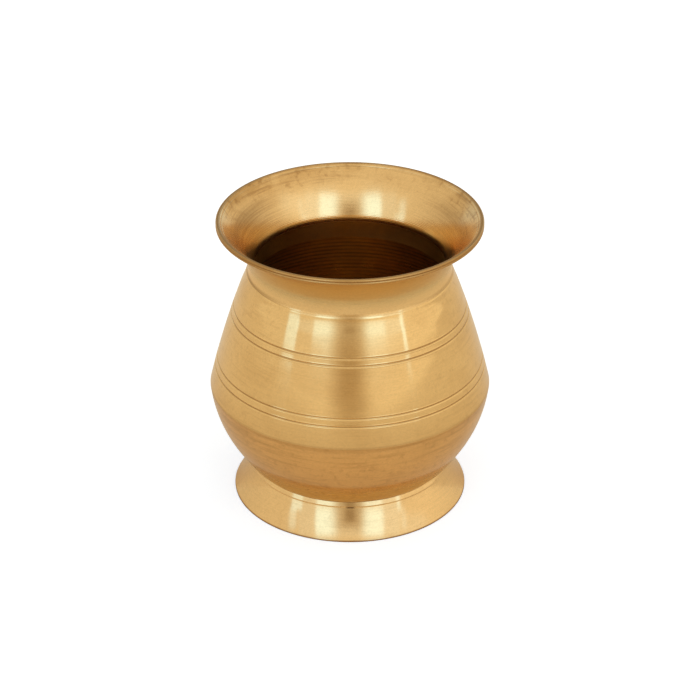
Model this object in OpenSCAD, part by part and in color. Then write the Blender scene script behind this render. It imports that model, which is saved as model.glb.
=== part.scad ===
// Turned brass kalash: a flared rim collar, a shoulder, a closed bowl and a hollow
// foot, lapped into each other and brazed at the neck, the belly and the foot.
// Millimetres, +Z up, origin at the centre of the circle that the foot stands on.

/* [Mouth] */
// Outside diameter of the lip
lip_d = 100.4; // [99:0.1:102]
// Height of the lip's flat top above the floor
pot_h = 114.5; // [113:0.1:117]
// Radius of each of the lip's two half-round beads
bead_r = 0.5; // [0.4:0.05:0.6]
// Inside diameter of the throat
throat_d = 72; // [71.6:0.1:72.4]
// Height at which the throat starts to flare
throat_z = 95.7; // [95:0.1:96.5]
// How far the bore is opened out under the throat
throat_step = 0.3; // [0.2:0.05:0.4]
// Radius of the bend at the root of the flare, inside
flare_root_r = 7; // [6:0.5:8]
// Angle from upright at which that bend ends
flare_root_a = 24; // [22:1:26]
// Diameter of the collar's waist, outside
waist_d = 77; // [76.8:0.1:77.4]
// Radius of the bend at the root of the flare, outside
waist_root_r = 10; // [9:0.5:11]
// Angle from upright at which that bend ends
waist_root_a = 28; // [26:1:30]

/* [Body] */
// Diameter of the belly at its knuckle
belly_d = 107.4; // [106:0.2:108]
// Height of the belly knuckle, where the shoulder meets the bowl
belly_z = 46; // [45:0.5:47]
// Diameter of the shoulder where the rim collar stands on it
shoulder_d = 78; // [77.6:0.1:78.4]
// Height at which the rim collar stands on the shoulder
shoulder_z = 93.5; // [93:0.1:94]
// How far the shoulder swells outward of a straight cone
shoulder_swell = 0.87; // [0.7:0.01:1]
// Radius of the bowl's rounded side
bowl_side_r = 51; // [50:0.5:53]
// Angle from upright at which the bowl's side starts, just under the knuckle
bowl_start_a = 6; // [5:0.5:7]
// Angle from upright of the bowl's straight stretch, between its side and its bottom
bowl_cone_a = 32.2; // [31.6:0.2:32.8]
// Height of the bowl's closed bottom above the floor
base_z = 6.7; // [6:0.1:7.2]
// Radius of the rounding between that stretch and the bottom
base_bend_r = 28; // [26:0.5:30]
// Thickness of the walls and of the bottom
wall = 1.5; // [1.4:0.05:1.8]

/* [Turned lines] */
// Heights of the lines cut round the shoulder, in two pairs
line_z = [54.3, 57.4, 76.3, 79.1]; // [52:0.1:88]
// Diameter of the round-nosed tool that cuts them
line_tool_d = 1; // [0.8:0.05:1.2]
// Depth of the lines
line_depth = 0.25; // [0.15:0.01:0.35]

/* [Foot] */
// Diameter of the foot where it stands
foot_d = 90.2; // [89:0.2:92]
// Height of the foot's top, which is a plain band
foot_h = 13.4; // [13:0.1:13.8]
// Height of the band
foot_band_h = 1.65; // [1.4:0.05:1.9]
// Diameter of the band's lower edge
foot_band_d = 77.3; // [77:0.1:77.6]
// Diameter of the foot's waist, under the band
foot_waist_d = 76.7; // [76.4:0.1:76.9]
// Radius of the bend at the root of the foot's flare
foot_root_r = 1.2; // [1:0.1:1.5]
// Angle from upright at which that bend ends
foot_root_a = 24; // [22:1:26]
// Width of the flat ring that the foot stands on
foot_land = 1.8; // [1.6:0.1:2.2]

/* [Brazed joints] */
// Length of the rim collar's spigot inside the shoulder
spigot_lap = 3.5; // [3:0.1:4]
// Wall of the spigot
spigot_wall = 1.3; // [1.2:0.05:1.4]
// Length of the bowl's tongue inside the shoulder
tongue_lap = 4; // [3.5:0.1:4.5]
// Wall of the tongue
tongue_wall = 1.3; // [1.1:0.05:1.5]
// Length of the foot's seat, measured along the bowl
foot_lap = 2.4; // [2.2:0.1:2.8]
// Leg of each fillet of filler metal
braze_leg = 1.1; // [0.9:0.05:1.3]

/* [Hidden] */
$fn = 128;
STEPS = 12;

brass = [0.80, 0.60, 0.31];
filler = [0.88, 0.74, 0.42];

lip_r = lip_d/2;
throat_r = throat_d/2;
belly_r = belly_d/2;
shoulder_r = shoulder_d/2;
foot_r = foot_d/2;
waist_r = waist_d/2;
foot_band_r = foot_band_d/2;
foot_waist_r = foot_waist_d/2;
// Height of the sharp lower edge of the foot, which is left square
foot_edge_h = 0.5;
// Height of the crease between the foot's band and its waist
foot_crease_h = 0.2;
// How far the flare's underside stops inside the lip's edge
lip_reach = 1.1;
// Width of the lip's flat top
lip_land = 0.8;
// Height of the waist's upright stretch, between its bend and the flare
waist_flat = 0.4;
// How far the spigot shows under the lap, for the filler to hold
spigot_show = 1.2;

// Shoulder: an arc through the knuckle and the collar's seat, swollen outward
shoulder_chord = norm([belly_r - shoulder_r, shoulder_z - belly_z]);
shoulder_arc_r = (pow(shoulder_chord/2, 2) + pow(shoulder_swell, 2))/(2*shoulder_swell);
shoulder_lean = atan2(belly_r - shoulder_r, shoulder_z - belly_z);
shoulder_half_a = asin(shoulder_chord/2/shoulder_arc_r);
shoulder_c = [
    belly_r - shoulder_arc_r*cos(shoulder_lean - shoulder_half_a),
    belly_z - shoulder_arc_r*sin(shoulder_lean - shoulder_half_a)
];
shoulder_top_a = shoulder_lean + shoulder_half_a;
function shoulder_at(z, depth = 0) =
    shoulder_c[0] + sqrt(pow(shoulder_arc_r - depth, 2) - pow(z - shoulder_c[1], 2));

// Lap joints
spigot_bore_r = throat_r + throat_step;
socket_r = spigot_bore_r + spigot_wall;
socket_z = shoulder_z - spigot_lap;
tongue_z = belly_z + tongue_lap;
seat_r = shoulder_at(tongue_z, wall);
bore_r = seat_r - tongue_wall;

// Collar's waist: a bend that carries on the shoulder's slope and turns upright
waist_bend_r = (shoulder_r - waist_r)/(1 - cos(shoulder_top_a));
waist_z = shoulder_z + waist_bend_r*sin(shoulder_top_a);

// Bowl: side arc, straight cone and bottom rounding, each tangent to the next
bowl_c = [
    belly_r - bowl_side_r*cos(bowl_start_a),
    belly_z + bowl_side_r*sin(bowl_start_a)
];
cone_top = bowl_c + bowl_side_r*[cos(bowl_cone_a), -sin(bowl_cone_a)];
function cone_at(z) = cone_top[0] - (cone_top[1] - z)*tan(bowl_cone_a);
base_c_z = base_z + base_bend_r;
cone_low_z = base_c_z - base_bend_r*sin(bowl_cone_a);
cone_low = [cone_at(cone_low_z), cone_low_z];
base_c = [cone_low[0] - base_bend_r*cos(bowl_cone_a), base_c_z];
bore_a = acos((bore_r - bowl_c[0])/(bowl_side_r - wall));

function backwards(points) = [for (i = [len(points) - 1:-1:0]) points[i]];
function without_first(points) = [for (i = [1:len(points) - 1]) points[i]];

// Points along an arc about c, from angle a0 to angle a1 above +X
function arc(c, r, a0, a1, n = STEPS) =
    [for (i = [0:n]) let(a = a0 + (a1 - a0)*i/n) c + r*[cos(a), sin(a)]];

// A flare that leaves p0 upright, bends by root_a about root_r and runs on to p2
function flare(p0, root_r, root_a, p2) =
    let(
        up = sign(p2[1] - p0[1]),
        p1 = p0 + root_r*[1 - cos(root_a), up*sin(root_a)],
        run = [p2[0] - p1[0], up*(p2[1] - p1[1])],
        end_a = 2*atan2(run[0], run[1]) - root_a,
        run_r = norm(run)/(2*sin((end_a - root_a)/2))
    )
    concat(
        [for (i = [0:STEPS]) let(a = root_a*i/STEPS)
            p0 + root_r*[1 - cos(a), up*sin(a)]],
        [for (i = [1:STEPS]) let(a = root_a + (end_a - root_a)*i/STEPS)
            p1 + run_r*[cos(root_a) - cos(a), up*(sin(a) - sin(root_a))]]
    );

// Inside of the shoulder from the top of the tongue to the collar's socket
shoulder_inside = concat(
    [[seat_r, tongue_z]],
    [for (i = [0:STEPS])
        let(z = tongue_z + braze_leg + (socket_z - tongue_z - braze_leg)*i/STEPS)
        [shoulder_at(z, wall), z]]
);

// Underside of the bowl: down to the foot, along the foot's seat, then to the flat bottom
seat_top_a = asin((base_c_z - foot_h)/base_bend_r);
seat_low_a = seat_top_a + 180/PI*foot_lap/base_bend_r;
base_side = arc(base_c, base_bend_r, -bowl_cone_a, -seat_top_a);
foot_seat = arc(base_c, base_bend_r, -seat_top_a, -seat_low_a);
base_under = arc(base_c, base_bend_r, -seat_low_a, -90);
// Where the foot's inside leaves the bowl, and how far down the filler reaches
seat_low = base_under[0];
foot_fillet = [seat_low[0], seat_low[1] - braze_leg];

module rim_collar() {
    // Angle above and below level at which the two beads run into their groove
    bead_a = 55;
    color(brass)
    rotate_extrude()
    polygon(concat(
        arc([waist_r + waist_bend_r, waist_z], waist_bend_r, 180 + shoulder_top_a, 180),
        flare(
            [waist_r, waist_z + waist_flat], waist_root_r, waist_root_a,
            [lip_r - lip_reach, pot_h - 4*bead_r]
        ),
        arc([lip_r - bead_r, pot_h - 3*bead_r], bead_r, -90, bead_a),
        arc([lip_r - bead_r, pot_h - bead_r], bead_r, -bead_a, 90),
        backwards(flare(
            [throat_r, throat_z], flare_root_r, flare_root_a,
            [lip_r - bead_r - lip_land, pot_h]
        )),
        [
            [spigot_bore_r, throat_z - throat_step],
            [spigot_bore_r, socket_z - spigot_show],
            [socket_r, socket_z - spigot_show],
            [socket_r, shoulder_z]
        ]
    ));
}

module shoulder_shell() {
    color(brass)
    rotate_extrude()
    difference() {
        polygon(concat(
            arc(
                shoulder_c, shoulder_arc_r,
                shoulder_lean - shoulder_half_a, shoulder_top_a
            ),
            [[socket_r, shoulder_z], [socket_r, socket_z]],
            backwards(shoulder_inside),
            [[seat_r, belly_z]]
        ));
        for (z = line_z)
            translate([shoulder_at(z) + line_tool_d/2 - line_depth, z])
                circle(d = line_tool_d, $fn = 24);
    }
}

module bowl_shell() {
    color(brass)
    rotate_extrude()
    polygon(concat(
        arc(bowl_c, bowl_side_r, -bowl_start_a, -bowl_cone_a),
        base_side,
        without_first(foot_seat),
        without_first(base_under),
        [[0, base_z], [0, base_z + wall]],
        arc(base_c, base_bend_r - wall, -90, -bowl_cone_a),
        arc(bowl_c, bowl_side_r - wall, -bowl_cone_a, -bore_a),
        [[bore_r, tongue_z], [seat_r, tongue_z], [seat_r, belly_z]]
    ));
}

module foot_ring() {
    band_low_z = foot_h - foot_band_h;
    color(brass)
    rotate_extrude()
    polygon(concat(
        [foot_seat[0], [foot_band_r, band_low_z]],
        flare(
            [foot_waist_r, band_low_z - foot_crease_h], foot_root_r, foot_root_a,
            [foot_r, foot_edge_h]
        ),
        [[foot_r, 0]],
        backwards(flare(
            foot_fillet, foot_root_r + foot_land, foot_root_a,
            [foot_r - foot_land, 0]
        )),
        backwards(without_first(foot_seat))
    ));
}

module neck_braze() {
    color(filler)
    rotate_extrude()
    polygon([
        [socket_r, socket_z],
        [shoulder_at(socket_z, wall), socket_z],
        [socket_r, socket_z - braze_leg]
    ]);
}

module belly_braze() {
    color(filler)
    rotate_extrude()
    polygon([
        [seat_r - braze_leg, tongue_z],
        shoulder_inside[0],
        shoulder_inside[1]
    ]);
}

module foot_braze() {
    color(filler)
    rotate_extrude()
    polygon([seat_low, foot_fillet, base_under[1]]);
}

rim_collar();
shoulder_shell();
bowl_shell();
foot_ring();
neck_braze();
belly_braze();
foot_braze();
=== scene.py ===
import math

import bmesh
import bpy
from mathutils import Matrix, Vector, noise


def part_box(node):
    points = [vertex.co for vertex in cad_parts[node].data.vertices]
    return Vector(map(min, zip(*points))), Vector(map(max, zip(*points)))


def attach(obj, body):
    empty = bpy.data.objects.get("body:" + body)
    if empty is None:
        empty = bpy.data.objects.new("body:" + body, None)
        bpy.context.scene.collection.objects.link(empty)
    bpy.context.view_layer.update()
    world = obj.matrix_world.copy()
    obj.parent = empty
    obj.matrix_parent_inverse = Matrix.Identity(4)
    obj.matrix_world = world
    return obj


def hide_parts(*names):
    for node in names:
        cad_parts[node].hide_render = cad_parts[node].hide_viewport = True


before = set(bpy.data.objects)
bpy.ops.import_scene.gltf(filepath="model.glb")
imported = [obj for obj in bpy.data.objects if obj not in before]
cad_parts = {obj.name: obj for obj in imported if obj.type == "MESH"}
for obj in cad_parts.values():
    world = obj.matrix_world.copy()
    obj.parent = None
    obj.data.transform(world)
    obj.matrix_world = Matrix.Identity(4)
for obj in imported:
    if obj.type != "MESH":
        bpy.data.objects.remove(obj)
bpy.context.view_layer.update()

# ---------------------------------------------------------------------------
# Sizes, in metres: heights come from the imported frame, bends from the design.
# Angles are in radians, measured from upright.
# ---------------------------------------------------------------------------
MM = 0.001
rim_low, rim_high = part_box("rim_collar")
shoulder_low, shoulder_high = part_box("shoulder_shell")
bowl_low, bowl_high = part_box("bowl_shell")
foot_low, foot_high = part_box("foot_ring")

TOP_Z = rim_high.z
SPIGOT_Z = rim_low.z
NECK_Z = shoulder_high.z
SEAM_Z = shoulder_low.z
BASE_Z = bowl_low.z
TONGUE_Z = bowl_high.z
FOOT_Z = foot_high.z
FLOOR_Z = foot_low.z

LIP_R = 50.2 * MM
BEAD_R = 0.5 * MM
LIP_REACH = 1.1 * MM
LIP_LAND = 0.8 * MM
THROAT_R = 36 * MM
THROAT_Z = 95.7 * MM
THROAT_STEP = 0.3 * MM
FLARE_ROOT_R = 7 * MM
FLARE_ROOT_A = math.radians(24)
WAIST_R = 38.5 * MM
WAIST_FLAT = 0.4 * MM
WAIST_ROOT_R = 10 * MM
WAIST_ROOT_A = math.radians(28)
SPIGOT_WALL = 1.3 * MM
SPIGOT_SHOW = 1.2 * MM

BELLY_R = 53.7 * MM
NECK_R = 39 * MM
SWELL = 0.87 * MM
WALL = 1.5 * MM
TONGUE_WALL = 1.3 * MM
SIDE_R = 51 * MM
SIDE_START_A = math.radians(6)
CONE_A = math.radians(32.2)
BASE_BEND_R = 28 * MM
# Heights of the four lines turned round the shoulder
LINE_Z = [z * MM for z in (54.3, 57.4, 76.3, 79.1)]

FOOT_R = 45.1 * MM
FOOT_BAND_H = 1.65 * MM
FOOT_BAND_R = 38.65 * MM
FOOT_WAIST_R = 38.35 * MM
FOOT_CREASE = 0.2 * MM
FOOT_ROOT_R = 1.2 * MM
FOOT_ROOT_A = math.radians(24)
FOOT_EDGE = 0.5 * MM
FOOT_LAND = 1.8 * MM
FOOT_LAP = 2.4 * MM
BRAZE_LEG = 1.1 * MM

# Width and depth of the turning ridges inside
RIDGE_PITCH = 1.9 * MM
RIDGE_DEPTH = 0.07 * MM
# Chamfer that breaks a sharp edge, and the wider one on the foot
EDGE_BREAK = 0.04 * MM
FOOT_EDGE_BREAK = 0.08 * MM
# Points nearer the axis than this lie on it
ON_AXIS_R = 0.01 * MM
# Faces round each piece
SEGMENTS = 240
# Hand-made unevenness: waves per metre, and the radius under which there is none
UNEVEN_RATE = 60
UNEVEN_FROM_R = 1 * MM


# ---------------------------------------------------------------------------
# Outlines: (radius, height) pairs that run anticlockwise, metal on their left
# ---------------------------------------------------------------------------
def arc(centre, radius, start, end, steps):
    """Points on a circle, from angle start to angle end above level."""
    turn = [start + (end - start) * i / steps for i in range(steps + 1)]
    return [(centre[0] + radius * math.cos(a), centre[1] + radius * math.sin(a)) for a in turn]


def flare(start, root_r, root_a, end, steps):
    """A curve that leaves start upright, bends by root_a and runs on to end."""
    up = math.copysign(1, end[1] - start[1])
    bent = (start[0] + root_r * (1 - math.cos(root_a)), start[1] + up * root_r * math.sin(root_a))
    run = (end[0] - bent[0], up * (end[1] - bent[1]))
    end_a = 2 * math.atan2(*run) - root_a
    run_r = math.hypot(*run) / (2 * math.sin((end_a - root_a) / 2))
    points = []
    for i in range(steps + 1):
        a = root_a * i / steps
        points.append((start[0] + root_r * (1 - math.cos(a)), start[1] + up * root_r * math.sin(a)))
    for i in range(1, 2 * steps + 1):
        a = root_a + (end_a - root_a) * i / (2 * steps)
        points.append((
            bent[0] + run_r * (math.cos(root_a) - math.cos(a)),
            bent[1] + up * run_r * (math.sin(a) - math.sin(root_a)),
        ))
    return points


SHOULDER_CHORD = math.hypot(BELLY_R - NECK_R, NECK_Z - SEAM_Z)
SHOULDER_ARC_R = ((SHOULDER_CHORD / 2) ** 2 + SWELL ** 2) / (2 * SWELL)
SHOULDER_LEAN = math.atan2(BELLY_R - NECK_R, NECK_Z - SEAM_Z)
SHOULDER_HALF_A = math.asin(SHOULDER_CHORD / 2 / SHOULDER_ARC_R)
SHOULDER_TOP_A = SHOULDER_LEAN + SHOULDER_HALF_A
SHOULDER_C = (
    BELLY_R - SHOULDER_ARC_R * math.cos(SHOULDER_LEAN - SHOULDER_HALF_A),
    SEAM_Z - SHOULDER_ARC_R * math.sin(SHOULDER_LEAN - SHOULDER_HALF_A),
)


def shoulder_at(z, depth=0):
    """Radius of the shoulder's arc at height z, a depth under its outside."""
    return SHOULDER_C[0] + math.sqrt((SHOULDER_ARC_R - depth) ** 2 - (z - SHOULDER_C[1]) ** 2)


BORE_R = THROAT_R + THROAT_STEP
SOCKET_R = BORE_R + SPIGOT_WALL
SOCKET_Z = SPIGOT_Z + SPIGOT_SHOW
SEAT_R = shoulder_at(TONGUE_Z, WALL)
TONGUE_R = SEAT_R - TONGUE_WALL
BOWL_C = (
    BELLY_R - SIDE_R * math.cos(SIDE_START_A),
    SEAM_Z + SIDE_R * math.sin(SIDE_START_A),
)
CONE_TOP = (
    BOWL_C[0] + SIDE_R * math.cos(CONE_A),
    BOWL_C[1] - SIDE_R * math.sin(CONE_A),
)
CONE_LOW_Z = BASE_Z + BASE_BEND_R * (1 - math.sin(CONE_A))
BASE_C = (
    CONE_TOP[0] - (CONE_TOP[1] - CONE_LOW_Z) * math.tan(CONE_A) - BASE_BEND_R * math.cos(CONE_A),
    BASE_Z + BASE_BEND_R,
)
SEAT_TOP_A = math.asin((BASE_C[1] - FOOT_Z) / BASE_BEND_R)
SEAT_LOW_A = SEAT_TOP_A + FOOT_LAP / BASE_BEND_R


def spaced(points, gap):
    """The same outline with points no further apart than gap."""
    out = [points[0]]
    for a, b in zip(points, points[1:]):
        n = max(1, math.ceil(math.dist(a, b) / gap))
        out += [(a[0] + (b[0] - a[0]) * i / n, a[1] + (b[1] - a[1]) * i / n) for i in range(1, n + 1)]
    return out


def worked(points, cut):
    """The outline with cut(distance run along it) taken off into the metal."""
    out, run = [], 0.0
    for i, p in enumerate(points):
        a, b = points[max(i - 1, 0)], points[min(i + 1, len(points) - 1)]
        run += math.dist(points[i - 1], p) if i else 0.0
        length = math.dist(a, b)
        depth = cut(run)
        out.append((p[0] - (b[1] - a[1]) / length * depth, p[1] + (b[0] - a[0]) / length * depth))
    return out


def ridges(pitch, depth):
    """Hollows left side by side by a round-nosed tool."""
    return lambda run: depth * abs(math.sin(math.pi * run / pitch))


def eased(outline, leg, corner=math.radians(35), most=0.4):
    """The closed outline, its sharp corners cut back by leg, or by a share, most, of a short side."""
    out = []
    for i, p in enumerate(outline):
        a, b = outline[i - 1], outline[(i + 1) % len(outline)]
        before = (p[0] - a[0], p[1] - a[1])
        after = (b[0] - p[0], b[1] - p[1])
        la, lb = math.hypot(*before), math.hypot(*after)
        turn = abs(math.atan2(
            before[0] * after[1] - before[1] * after[0],
            before[0] * after[0] + before[1] * after[1],
        ))
        if turn < corner or p[0] < ON_AXIS_R:
            out.append(p)
            continue
        ca, cb = min(leg, la * most), min(leg, lb * most)
        out.append((p[0] - before[0] / la * ca, p[1] - before[1] / la * ca, p[2]))
        out.append((p[0] + after[0] / lb * cb, p[1] + after[1] / lb * cb, p[2]))
    return out


def hairlines(places, depth, half):
    """Narrow cuts at those distances along an outline."""
    return lambda run: sum(math.exp(-((run - p) / half) ** 2) for p in places) * depth


def rim_outline():
    """Polished flare and lip, then the duller bore and spigot."""
    bend_r = (NECK_R - WAIST_R) / (1 - math.cos(SHOULDER_TOP_A))
    waist_z = NECK_Z + bend_r * math.sin(SHOULDER_TOP_A)
    outside = arc((WAIST_R + bend_r, waist_z), bend_r, math.pi + SHOULDER_TOP_A, math.pi, 12)
    outside += flare(
        (WAIST_R, waist_z + WAIST_FLAT), WAIST_ROOT_R, WAIST_ROOT_A,
        (LIP_R - LIP_REACH, TOP_Z - 4 * BEAD_R), 12,
    )
    # Angle above and below level at which the two beads meet
    bead_a = math.radians(58)
    lip = arc((LIP_R - BEAD_R, TOP_Z - 3 * BEAD_R), BEAD_R, -math.pi / 2, bead_a, 10)
    lip += arc((LIP_R - BEAD_R, TOP_Z - BEAD_R), BEAD_R, -bead_a, math.pi / 2, 10)
    edge = (LIP_R - BEAD_R - LIP_LAND, TOP_Z)
    inside = flare((THROAT_R, THROAT_Z), FLARE_ROOT_R, FLARE_ROOT_A, edge, 14)[::-1]
    inside = spaced(inside, 0.11 * MM)
    length = sum(math.dist(a, b) for a, b in zip(inside, inside[1:]))
    # Two fine lines beside the lip, and chatter that grows towards the throat
    lines = hairlines((0.15 * MM, 1.25 * MM), 0.1 * MM, 0.11 * MM)
    chatter = ridges(0.55 * MM, 0.024 * MM)
    inside = worked(inside, lambda run: lines(run) + chatter(run) * (run / length) ** 2)
    bore = [
        (BORE_R, THROAT_Z - THROAT_STEP), (BORE_R, SPIGOT_Z),
        (SOCKET_R, SPIGOT_Z), (SOCKET_R, NECK_Z),
    ]
    return outside + lip + inside, bore


def shoulder_outline():
    """Polished outside with its turned lines, then the ridged inside."""
    outside_steps, inside_steps = 56, 230
    # Extra points where the turned lines are
    fine = [i * 0.1 * MM for i in range(-9, 10)]
    heights = [SEAM_Z + (NECK_Z - SEAM_Z) * i / outside_steps for i in range(outside_steps + 1)]
    heights = [h for h in heights if all(abs(h - c) > 1 * MM for c in LINE_Z)]
    heights = sorted(heights + [c + d for c in LINE_Z for d in fine])
    outside = [(shoulder_at(h) - line_depth(h) - neck_ease(h), h) for h in heights]
    drop = [SOCKET_Z + (TONGUE_Z - SOCKET_Z) * i / inside_steps for i in range(inside_steps + 1)]
    inside = worked([(shoulder_at(h, WALL), h) for h in drop], ridges(RIDGE_PITCH, RIDGE_DEPTH))
    inside = [(SOCKET_R, NECK_Z), (SOCKET_R, SOCKET_Z)] + inside[:-1]
    return outside, inside + [(SEAT_R, TONGUE_Z), (SEAT_R, SEAM_Z)]


def line_depth(z):
    """How far the turned lines cut in at height z: a round-nosed hollow with a slight burr."""
    depth, half_width = 0.24 * MM, 0.42 * MM
    burr, burr_away, burr_half_width = 0.03 * MM, 0.55 * MM, 0.12 * MM
    cut = 0.0
    for line_z in LINE_Z:
        away = abs(z - line_z)
        cut += depth * max(0.0, 1 - (away / half_width) ** 2)
        cut -= burr * math.exp(-((away - burr_away) / burr_half_width) ** 2)
    return cut


def neck_ease(z):
    """The shoulder's slope eases off over its last few millimetres, where it was blended in."""
    length, depth = 7 * MM, 0.14 * MM
    u = (z - NECK_Z) / length + 1
    # u * u * (1 - u) is 4/27 at its highest
    return depth * 27 / 4 * u * u * (1 - u) if 0 < u < 1 else 0.0


def bowl_outline():
    """Polished outside, then the ridged inside."""
    under = spaced([(0, BASE_Z), (BASE_C[0], BASE_Z)], 1.5 * MM)
    outside = under + arc(BASE_C, BASE_BEND_R, -math.pi / 2, -CONE_A, 40)[1:]
    outside += arc(BOWL_C, SIDE_R, -CONE_A, -SIDE_START_A, 40)
    tongue_a = math.acos((TONGUE_R - BOWL_C[0]) / (SIDE_R - WALL))
    inside = arc(BOWL_C, SIDE_R - WALL, -tongue_a, -CONE_A, 30)
    inside += arc(BASE_C, BASE_BEND_R - WALL, -CONE_A, -math.pi / 2, 30)
    inside += [(0, BASE_Z + WALL)]
    inside = worked(spaced(inside, 0.3 * MM)[:-1], ridges(RIDGE_PITCH, RIDGE_DEPTH))
    tongue = [(SEAT_R, SEAM_Z), (SEAT_R, TONGUE_Z), (TONGUE_R, TONGUE_Z)]
    return outside, tongue + inside + [(0, BASE_Z + WALL)]


def foot_outline():
    """Polished outside from the floor up to the bowl, then the seat and the rough inside."""
    band_low_z = FOOT_Z - FOOT_BAND_H
    outside = flare(
        (FOOT_WAIST_R, band_low_z - FOOT_CREASE), FOOT_ROOT_R, FOOT_ROOT_A,
        (FOOT_R, FLOOR_Z + FOOT_EDGE), 16,
    )[::-1]
    seat = arc(BASE_C, BASE_BEND_R, -SEAT_TOP_A, -SEAT_LOW_A, 6)
    outside = [(FOOT_R - FOOT_LAND, FLOOR_Z), (FOOT_R, FLOOR_Z)] + outside + [(FOOT_BAND_R, band_low_z)]
    inside = flare(
        (seat[-1][0], seat[-1][1] - BRAZE_LEG), FOOT_ROOT_R + FOOT_LAND, FOOT_ROOT_A,
        (FOOT_R - FOOT_LAND, FLOOR_Z), 10,
    )
    return outside, seat + inside[:-1]


# ---------------------------------------------------------------------------
# Lathe
# ---------------------------------------------------------------------------
def lathe(name, outline, chamfer, uneven=0.03 * MM):
    """Spins an (outside, inside) outline round +Z; uneven is how far hand work strays inward."""
    outside, inside = outline
    section = [(*p, 0) for p in outside] + [(*p, 1) for p in inside]
    section = eased(section, chamfer)
    bm = bmesh.new()
    rings = []
    for step in range(SEGMENTS):
        a = math.tau * step / SEGMENTS
        ring = []
        for i, (r, z, _) in enumerate(section):
            if r < ON_AXIS_R and rings:
                ring.append(rings[0][i])
                continue
            place = Vector((r * math.cos(a), r * math.sin(a), z))
            if r > UNEVEN_FROM_R:
                stray = uneven * (1 - noise.noise(place * UNEVEN_RATE)) * 0.5
                place.xy *= 1 - stray / r
            ring.append(bm.verts.new(place))
        rings.append(ring)
    for step in range(SEGMENTS):
        here, there = rings[step], rings[(step + 1) % SEGMENTS]
        for i in range(len(section)):
            j = (i + 1) % len(section)
            corners = list(dict.fromkeys((here[i], there[i], there[j], here[j])))
            if len(corners) > 2:
                face = bm.faces.new(corners)
                face.smooth = True
                face.material_index = section[i][2] & section[j][2]
    mesh = bpy.data.meshes.new(name)
    bm.to_mesh(mesh)
    bm.free()
    mesh.set_sharp_from_angle(angle=math.radians(40))
    obj = bpy.data.objects.new(name, mesh)
    bpy.context.scene.collection.objects.link(obj)
    return obj


# ---------------------------------------------------------------------------
# Materials
# ---------------------------------------------------------------------------
class Graph:
    """A node tree, with short ways to add nodes and wire them."""

    def __init__(self, owner):
        owner.use_nodes = True
        self.tree = owner.node_tree
        self.tree.nodes.clear()

    def add(self, kind, inputs=None, **settings):
        node = self.tree.nodes.new(kind)
        for key, value in settings.items():
            setattr(node, key, value)
        for key, value in (inputs or {}).items():
            if isinstance(value, bpy.types.NodeSocket):
                self.tree.links.new(value, node.inputs[key])
            else:
                node.inputs[key].default_value = value
        return node

    def maths(self, operation, *values, clamp=False):
        return self.add(
            "ShaderNodeMath", dict(enumerate(values)), operation=operation, use_clamp=clamp,
        ).outputs[0]

    def product(self, first, *others):
        for value in others:
            first = self.maths("MULTIPLY", first, value)
        return first

    def vector(self, operation, first, second):
        return self.add("ShaderNodeVectorMath", {0: first, 1: second}, operation=operation).outputs[0]

    def ramp(self, value, low, high, to_low=0.0, to_high=1.0):
        """A smooth step from to_low, where value is low, to to_high, where it is high."""
        return self.add(
            "ShaderNodeMapRange",
            {"Value": value, "From Min": low, "From Max": high, "To Min": to_low, "To Max": to_high},
            interpolation_type="SMOOTHSTEP",
        ).outputs["Result"]

    def near(self, value, centre, half, soft):
        """1 where value is within half of centre, falling to 0 over soft."""
        away = self.maths("ABSOLUTE", self.maths("SUBTRACT", value, centre))
        return self.ramp(away, half + soft, half)

    def mix(self, share, a, b):
        node = self.add("ShaderNodeMix", {"Factor": share}, data_type="RGBA")
        for key, value in (("A", a), ("B", b)):
            socket = next(s for s in node.inputs if s.name == key and s.type == "RGBA")
            if isinstance(value, bpy.types.NodeSocket):
                self.tree.links.new(value, socket)
            else:
                socket.default_value = (*value, 1)
        return next(s for s in node.outputs if s.type == "RGBA")


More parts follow.
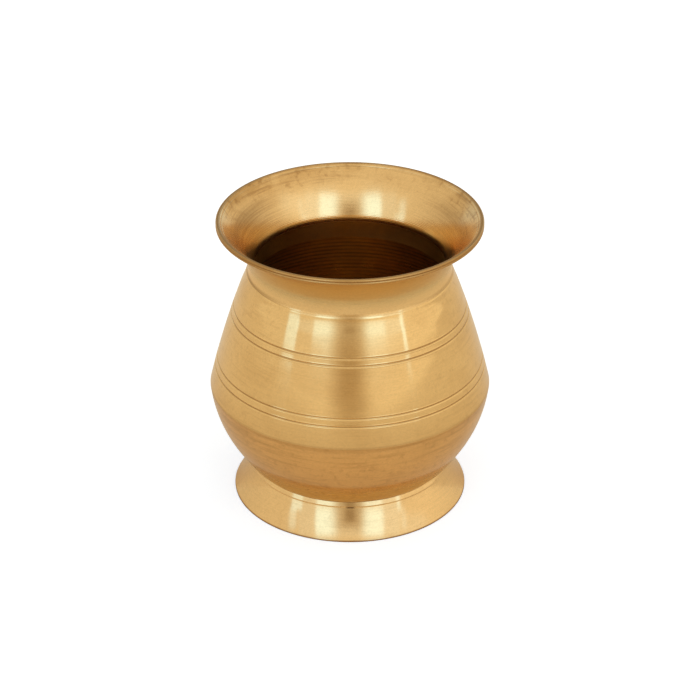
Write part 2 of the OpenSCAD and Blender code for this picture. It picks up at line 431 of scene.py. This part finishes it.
class Brass(Graph):
    """Turned brass, in the piece's own coordinates: z up its axis, r out from it."""

    def __init__(self, name):
        self.material = bpy.data.materials.new(name)
        super().__init__(self.material)
        self.place = self.add("ShaderNodeTexCoord").outputs["Object"]
        self.x, self.y, self.z = self.add("ShaderNodeSeparateXYZ", {"Vector": self.place}).outputs
        square = self.maths("ADD", self.product(self.x, self.x), self.product(self.y, self.y))
        self.r = self.maths("SQRT", square)
        self.cos = self.maths("DIVIDE", self.x, self.maths("MAXIMUM", self.r, 1e-4))
        self.sin = self.maths("DIVIDE", self.y, self.maths("MAXIMUM", self.r, 1e-4))
        # 1 on the two sides that hands hold, 0 front and back
        self.held = self.maths("ABSOLUTE", self.cos)

    def rings(self, around, across, detail=2.0):
        """Noise drawn out round the axis: slow along a ring, quick across it."""
        flat = self.add("ShaderNodeCombineXYZ", {
            0: self.product(self.cos, around),
            1: self.product(self.sin, around),
            2: self.product(self.z, across),
        }).outputs[0]
        return self.add(
            "ShaderNodeTexNoise",
            {"Vector": flat, "W": self.product(self.r, across), "Scale": 1.0, "Detail": detail},
            noise_dimensions="4D",
        ).outputs["Fac"]

    def patches(self, scale, detail=4.0, distortion=0.0):
        return self.add(
            "ShaderNodeTexNoise",
            {"Vector": self.place, "Scale": scale, "Detail": detail, "Distortion": distortion},
        ).outputs["Fac"]

    def finish(
        self, clean, stains_and_shade, roughness, brushing=0.0015, wobble=0.05, aniso=0.5, edge=(1, 1, 1),
    ):
        """Lays each (share, colour) overlay over the clean metal, real tarnish and painted shade alike,
        and wires the shader.
        """
        fine = self.rings(5.0, 2600.0)
        broad = self.rings(2.2, 260.0, 3.0)
        speck = self.patches(1300.0, 3.0)
        colour = clean
        dull = 0.0
        for share, stain_and_shade_colour in stains_and_shade:
            share = self.maths("MULTIPLY", share, 1.0, clamp=True)
            colour = self.mix(share, colour, stain_and_shade_colour)
            dull = self.maths("MAXIMUM", share, dull)
        grain = self.maths("ADD", self.product(fine, 0.4), self.product(speck, 0.6))
        colour = self.vector("MULTIPLY", colour, self.ramp(grain, 0.3, 0.7, 0.93, 1.045))
        rough = self.maths(
            "ADD", self.product(dull, 0.14),
            self.ramp(broad, 0.3, 0.7, roughness - 0.015, roughness + 0.02),
        )
        swell = self.add(
            "ShaderNodeBump",
            {"Height": self.patches(75.0, 1.0), "Strength": 1.0, "Distance": wobble * MM},
        ).outputs[0]
        brushed = self.add(
            "ShaderNodeBump",
            {"Height": fine, "Strength": 1.0, "Distance": brushing * MM, "Normal": swell},
        ).outputs[0]
        tangent = self.add("ShaderNodeTangent", direction_type="RADIAL", axis="Z").outputs[0]
        shader = self.add("ShaderNodeBsdfPrincipled", {
            "Base Color": colour, "Metallic": 1.0, "Roughness": rough,
            "Anisotropic": aniso, "Anisotropic Rotation": 0.25, "Specular Tint": (*edge, 1),
            "Tangent": tangent, "Normal": brushed,
        })
        self.add("ShaderNodeOutputMaterial", {"Surface": shader.outputs[0]})
        return self.material


# Clean brass, and the dirt, painted shade and painted reflection laid over it, from pale to dark
GOLD = (0.89, 0.62, 0.29)
TAN = (0.57, 0.335, 0.12)
DUN = (0.42, 0.27, 0.12)
BROWN = (0.37, 0.195, 0.065)
UMBER = (0.14, 0.07, 0.025)


def rim_brass():
    """Flare stained near the lip and down its two sides, the lower sides partly a painted reflection of
    the stained far wall, with painted shade on faces that look down and the lip's grooves darkened.
    """
    b = Brass("brass_rim")
    normal = b.add("ShaderNodeTexCoord").outputs["Normal"]
    facing_up = b.add("ShaderNodeSeparateXYZ", {0: normal}).outputs[2]
    # Painted shade: faces that look down take a darker, duller gold
    painted_underside_shade = b.ramp(facing_up, 0.1, -0.3)
    streaks = b.ramp(b.rings(3.0, 900.0, 4.0), 0.5, 0.72)
    mottle = b.ramp(b.patches(420.0, 6.0, 0.3), 0.5, 0.72)
    cloud = b.ramp(b.patches(48.0, 3.0, 0.5), 0.35, 0.65, 0.35, 1.0)
    sides = b.ramp(b.held, 0.5, 1.0)
    above_throat = b.ramp(b.r, WAIST_R + 1 * MM, WAIST_R + 4 * MM)
    more_on_left = b.ramp(b.cos, 0.6, -0.6, 0.85, 1.25)
    near_lip = b.product(b.ramp(b.z, TOP_Z - 9 * MM, TOP_Z), b.ramp(b.held, 0.3, 0.95, 0.8, 1.0))
    stained = b.maths("MAXIMUM", near_lip, b.product(sides, 0.7))
    stained = b.product(stained, cloud, above_throat, more_on_left)
    lip = b.product(
        b.ramp(b.z, TOP_Z - 2.3 * MM, TOP_Z - 1.9 * MM),
        b.ramp(b.r, LIP_R - 1.5 * MM, LIP_R - 1.1 * MM),
    )
    # The groove inside the lip's flat top, and the one between its two beads, both darkened
    inner_groove = b.product(
        b.near(b.r, LIP_R - BEAD_R - LIP_LAND - 0.15 * MM, 0.05 * MM, 0.15 * MM),
        b.ramp(b.z, TOP_Z - 2 * MM, TOP_Z - 1 * MM),
    )
    bead_groove = b.product(
        b.near(b.z, TOP_Z - 1.8 * BEAD_R, 0.18 * MM, 0.15 * MM),
        b.ramp(b.r, LIP_R - 0.8 * MM, LIP_R - 0.5 * MM),
    )
    # The flare's two sides below the lip, dull on the left and less so on the right: tarnish, partly a
    # painted reflection of the stained far wall
    sides_stain_and_reflection = b.product(
        b.ramp(facing_up, 0.1, 0.3), b.ramp(b.z, TOP_Z - 3 * MM, TOP_Z - 7 * MM), sides,
        b.ramp(b.cos, 0.6, -0.6, 0.55, 1.0),
    )
    fine_streaks = b.ramp(b.rings(1.5, 2200.0, 3.0), 0.42, 0.58)
    stains_and_shade = [
        # Painted shade on the faces that look down
        (painted_underside_shade, (0.74, 0.54, 0.25)),
        (b.product(stained, 0.85), TAN),
        (b.product(stained, mottle, 0.75), BROWN),
        (b.product(stained, streaks, 0.75), BROWN),
        # Partly tarnish, partly a painted reflection of the stained far wall
        (b.product(sides_stain_and_reflection, 0.7), DUN),
        (b.product(sides_stain_and_reflection, fine_streaks, 0.45), BROWN),
        (b.product(lip, 0.8), TAN),
        (b.product(lip, b.ramp(b.held, 0.1, 0.8), 0.5), BROWN),
        (b.product(inner_groove, 0.6), BROWN),
        (b.product(bead_groove, 0.85), BROWN),
    ]
    return b.finish(GOLD, stains_and_shade, 0.15, edge=(1.0, 0.93, 0.83))


def shoulder_brass():
    """The cleanest brass, with dirt in the turned lines and a little at the sides."""
    b = Brass("brass_shoulder")
    streaks = b.ramp(b.rings(3.0, 700.0, 4.0), 0.5, 0.75)
    mottle = b.ramp(b.patches(420.0, 6.0, 0.3), 0.52, 0.75)
    cloud = b.ramp(b.patches(55.0, 3.0, 0.5), 0.42, 0.68)
    held = b.ramp(b.held, 0.3, 0.9, 0.25, 1.0)
    lines = 0.0
    for z in LINE_Z:
        lines = b.maths("MAXIMUM", lines, b.near(b.z, z, 0.12 * MM, 0.22 * MM))
    low = b.ramp(b.z, SEAM_Z + 11 * MM, SEAM_Z)
    stains_and_shade = [
        (b.product(cloud, 0.18), TAN),
        (b.product(low, 0.25), TAN),
        (b.product(b.maths("MAXIMUM", mottle, streaks), held, 0.2), BROWN),
        (b.product(lines, b.ramp(b.held, 0.1, 0.6, 0.45, 0.75)), BROWN),
        (b.product(b.near(b.z, SEAM_Z, 0.25 * MM, 0.8 * MM), 0.3), BROWN),
    ]
    return b.finish((0.89, 0.615, 0.275), stains_and_shade, 0.10)


def bowl_brass():
    """Browner brass, smudged under the seam at the sides and paler down by the foot."""
    b = Brass("brass_bowl")
    streaks = b.ramp(b.rings(3.0, 700.0, 4.0), 0.48, 0.72)
    mottle = b.ramp(b.patches(420.0, 6.0, 0.3), 0.5, 0.72)
    smudge = b.product(
        b.near(b.z, SEAM_Z - 5 * MM, 2 * MM, 4.5 * MM), b.ramp(b.held, 0.35, 0.75),
        b.ramp(b.rings(1.6, 260.0, 4.0), 0.4, 0.62),
    )
    seam = b.ramp(b.z, SEAM_Z - 2.2 * MM, SEAM_Z - 0.3 * MM)
    by_foot = b.ramp(b.z, FOOT_Z + 14 * MM, FOOT_Z + 5 * MM)
    stains_and_shade = [
        (by_foot, (0.81, 0.585, 0.245)),
        (b.ramp(b.patches(60.0, 4.0, 0.6), 0.35, 0.7, 0.05, 0.2), TAN),
        (b.product(b.maths("MAXIMUM", mottle, streaks), 0.28), BROWN),
        (b.product(smudge, 0.4), BROWN),
        (b.product(seam, 0.3), BROWN),
    ]
    return b.finish((0.82, 0.50, 0.20), stains_and_shade, 0.15)


def foot_brass():
    """Bright brass with a brown lower edge, which is painted shade where it meets the floor."""
    b = Brass("brass_foot")
    streaks = b.ramp(b.rings(3.0, 900.0, 4.0), 0.5, 0.75)
    mottle = b.ramp(b.patches(420.0, 6.0, 0.3), 0.52, 0.75)
    # Painted shade: the lowest millimetre is browned as the contact shadow and the floor's shadow seen
    # in the edge
    edge = b.ramp(b.z, FLOOR_Z + 0.9 * MM, FLOOR_Z + 0.4 * MM)
    # A short dark flaw in the crease, at the front
    flaw = b.product(
        b.near(b.x, 0.2 * MM, 0.8 * MM, 1.4 * MM), b.ramp(b.y, 0.0, -30 * MM),
        b.near(b.z, FOOT_Z - FOOT_BAND_H - 0.45 * MM, 0.15 * MM, 0.3 * MM),
    )
    stains_and_shade = [
        (b.product(b.maths("MAXIMUM", mottle, streaks), 0.12), BROWN),
        (b.product(flaw, 0.85), UMBER),
        # Painted contact shadow along the lower edge
        (b.product(edge, 0.9), BROWN),
    ]
    return b.finish((0.86, 0.59, 0.275), stains_and_shade, 0.12)


def inside_brass():
    """Unpolished inside: dark with age, roughly turned."""
    b = Brass("brass_inside")
    cloud = b.ramp(b.patches(70.0, 5.0, 0.5), 0.35, 0.7)
    wave = b.maths("SINE", b.product(b.z, math.tau / RIDGE_PITCH))
    grime = b.product(
        b.ramp(wave, -0.6, 0.8), b.ramp(b.rings(1.5, 300.0, 3.0), 0.3, 0.6, 0.4, 1.0),
        b.ramp(b.z, SPIGOT_Z, SPIGOT_Z - 6 * MM),
    )
    stains_and_shade = [(b.product(cloud, 0.5), BROWN), (b.product(grime, 0.55), UMBER)]
    return b.finish((0.60, 0.345, 0.09), stains_and_shade, 0.28, brushing=0.008, edge=(1.0, 0.86, 0.66))


def filler_brass():
    """Brazing alloy as it froze: pale, dull and lumpy."""
    b = Brass("brass_filler")
    cloud = b.ramp(b.patches(160.0, 4.0, 0.8), 0.4, 0.65)
    return b.finish((0.72, 0.52, 0.25), [(b.product(cloud, 0.7), BROWN)], 0.4, brushing=0.02, aniso=0.0)


def dress(node, obj, outside, inside):
    """Puts a turned piece in its CAD node's place, with its two metals."""
    obj.data.materials.append(outside)
    obj.data.materials.append(inside)
    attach(obj, "root")
    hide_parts(node)


inside_metal = inside_brass()
rim = lathe("rim_collar_turned", rim_outline(), EDGE_BREAK)
shoulder = lathe("shoulder_shell_turned", shoulder_outline(), EDGE_BREAK)
bowl = lathe("bowl_shell_turned", bowl_outline(), EDGE_BREAK)
foot = lathe("foot_ring_turned", foot_outline(), FOOT_EDGE_BREAK)
dress("rim_collar", rim, rim_brass(), inside_metal)
dress("shoulder_shell", shoulder, shoulder_brass(), inside_metal)
dress("bowl_shell", bowl, bowl_brass(), inside_metal)
dress("foot_ring", foot, foot_brass(), inside_metal)
filler = filler_brass()
for node in ("neck_braze", "belly_braze", "foot_braze"):
    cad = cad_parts[node]
    cad.data.materials.clear()
    cad.data.materials.append(filler)


# ---------------------------------------------------------------------------
# Floor, light and camera
# ---------------------------------------------------------------------------
def floor():
    """Cream paper to the light, and clean white to the lens but for the pot's own shadow."""
    metres_from_middle = 4
    bm = bmesh.new()
    bmesh.ops.create_grid(bm, x_segments=8, y_segments=8, size=metres_from_middle)
    mesh = bpy.data.meshes.new("floor")
    bm.to_mesh(mesh)
    bm.free()
    obj = bpy.data.objects.new("floor", mesh)
    obj.location.z = FLOOR_Z
    bpy.context.scene.collection.objects.link(obj)
    white = bpy.data.materials.new("floor_white")
    g = Graph(white)
    paper = g.add("ShaderNodeBsdfDiffuse", {"Color": (0.88, 0.80, 0.68, 1)}).outputs[0]
    seen = g.add("ShaderNodeLightPath").outputs["Is Camera Ray"]
    glow = g.add("ShaderNodeEmission", {"Color": (0.40, 0.51, 0.64, 1), "Strength": seen})
    both = g.add("ShaderNodeAddShader", {0: paper, 1: glow.outputs[0]}).outputs[0]
    g.add("ShaderNodeOutputMaterial", {"Surface": both})
    mesh.materials.append(white)


# Bright panels of the light tent, in degrees: left and right edge and how soft each is,
# lower and upper edge and how soft each is, and strength. 0 is the way the lens lies
# and + is to its right.
PANELS = [
    (-37, -17, 3, 15, 8.5, 43, 2, 5, 0.56),
    (-37, -15, 3, 13, 17, 43, 5, 5, 0.42),
    (15, 36, 13, 5, 8.5, 43, 2, 5, 0.46),
    (14, 36, 11, 5, 17, 43, 5, 5, 0.44),
    (-56, 36, 3, 3, 10, 43, 3, 5, 0.2),
    (36, 54, 3, 2, 8, 43, 3, 5, 0.3),
    (54, 84, 3, 14, 22, 41, 5, 5, 0.15),
    (-65, -53, 1.2, 1.2, 3, 18, 1.5, 3, 0.75),
    (-66, -58, 2, 2, 16, 35, 3, 3, 0.5),
    (52.5, 56, 1, 1, 3, 18, 1.5, 3, 0.9),
    (56, 61, 1, 1, 16, 35, 3, 3, 0.25),
    (148, 172, 8, 12, 8, 50, 6, 4, 0.6),
    (-166, -138, 12, 8, 8, 46, 6, 4, 0.5),
]
PANEL_COLOUR = (0.26, 0.74, 1.7)
TENT_COLOUR = (1.0, 0.893, 0.715)
# How much of each colour the slit takes away, where it is full
SLIT_TAKES = (1.0, 1.2, 1.45)


def tent():
    """A white light tent with bright panels and the dark slit that the lens looks through."""
    world = bpy.data.worlds.new("tent")
    bpy.context.scene.world = world
    g = Graph(world)
    way = g.add("ShaderNodeTexCoord").outputs["Generated"]
    x, y, z = g.add("ShaderNodeSeparateXYZ", {"Vector": way}).outputs
    around = g.product(g.maths("ARCTAN2", x, g.product(y, -1.0)), 180 / math.pi)
    above = g.product(g.maths("ARCSINE", z), 180 / math.pi)
    aside = g.maths("ABSOLUTE", around)

    walls = g.product(
        g.ramp(aside, 85.0, 140.0, 0.90, 0.76), g.ramp(aside, 150.0, 178.0, 1.0, 0.65),
        g.maths("ADD", g.product(x, 0.085), 1.0),
    )
    panels = 0.0
    for left, right, left_soft, right_soft, low, high, low_soft, high_soft, strength in PANELS:
        share = g.product(
            g.ramp(around, left - left_soft / 2, left + left_soft / 2),
            g.ramp(around, right + right_soft / 2, right - right_soft / 2),
            g.ramp(above, low - low_soft, low + low_soft),
            g.ramp(above, high + high_soft, high - high_soft),
            strength,
        )
        panels = g.maths("ADD", share, panels)
    light = g.vector("ADD", g.vector("MULTIPLY", PANEL_COLOUR, panels), walls)
    # The slit is broad and faint, fades out overhead and has a narrow dark core
    broad = g.product(g.ramp(aside, 24.0, 2.0), g.ramp(above, 42.0, 28.0), 0.4)
    narrow = g.product(g.ramp(aside, 8.0, 2.0), g.near(above, 22.5, 5.0, 2.0), 0.3)
    for shade in (broad, narrow):
        taken = g.vector("MULTIPLY", SLIT_TAKES, shade)
        light = g.vector("MULTIPLY", light, g.vector("SUBTRACT", (1, 1, 1), taken))
    light = g.vector("MULTIPLY", light, TENT_COLOUR)
    seen = g.add("ShaderNodeLightPath").outputs["Is Camera Ray"]
    lit = g.add("ShaderNodeBackground", {"Color": light, "Strength": 1.0}).outputs[0]
    pale = g.add("ShaderNodeBackground", {"Color": (1, 1, 1, 1), "Strength": 1.0}).outputs[0]
    both = g.add("ShaderNodeMixShader", {0: seen, 1: lit, 2: pale}).outputs[0]
    g.add("ShaderNodeOutputWorld", {"Surface": both})


def camera():
    """A long lens 1.02 m from the pot, looking down on it at 29 degrees."""
    elevation = math.radians(29.02)
    distance = 1.0235
    aim = Vector((0.04 * MM, 0, 58.4 * MM))
    data = bpy.data.cameras.new("camera")
    data.sensor_width = 36
    data.lens = 137.3
    data.clip_start, data.clip_end = 0.01, 50
    obj = bpy.data.objects.new("camera", data)
    bpy.context.scene.collection.objects.link(obj)
    back = Vector((0, -math.cos(elevation), math.sin(elevation)))
    obj.location = aim + back * distance
    obj.rotation_mode = "QUATERNION"
    obj.rotation_quaternion = (-back).to_track_quat("-Z", "Y")
    bpy.context.scene.camera = obj


floor()
tent()
camera()
bpy.context.scene.view_settings.view_transform = "Standard"
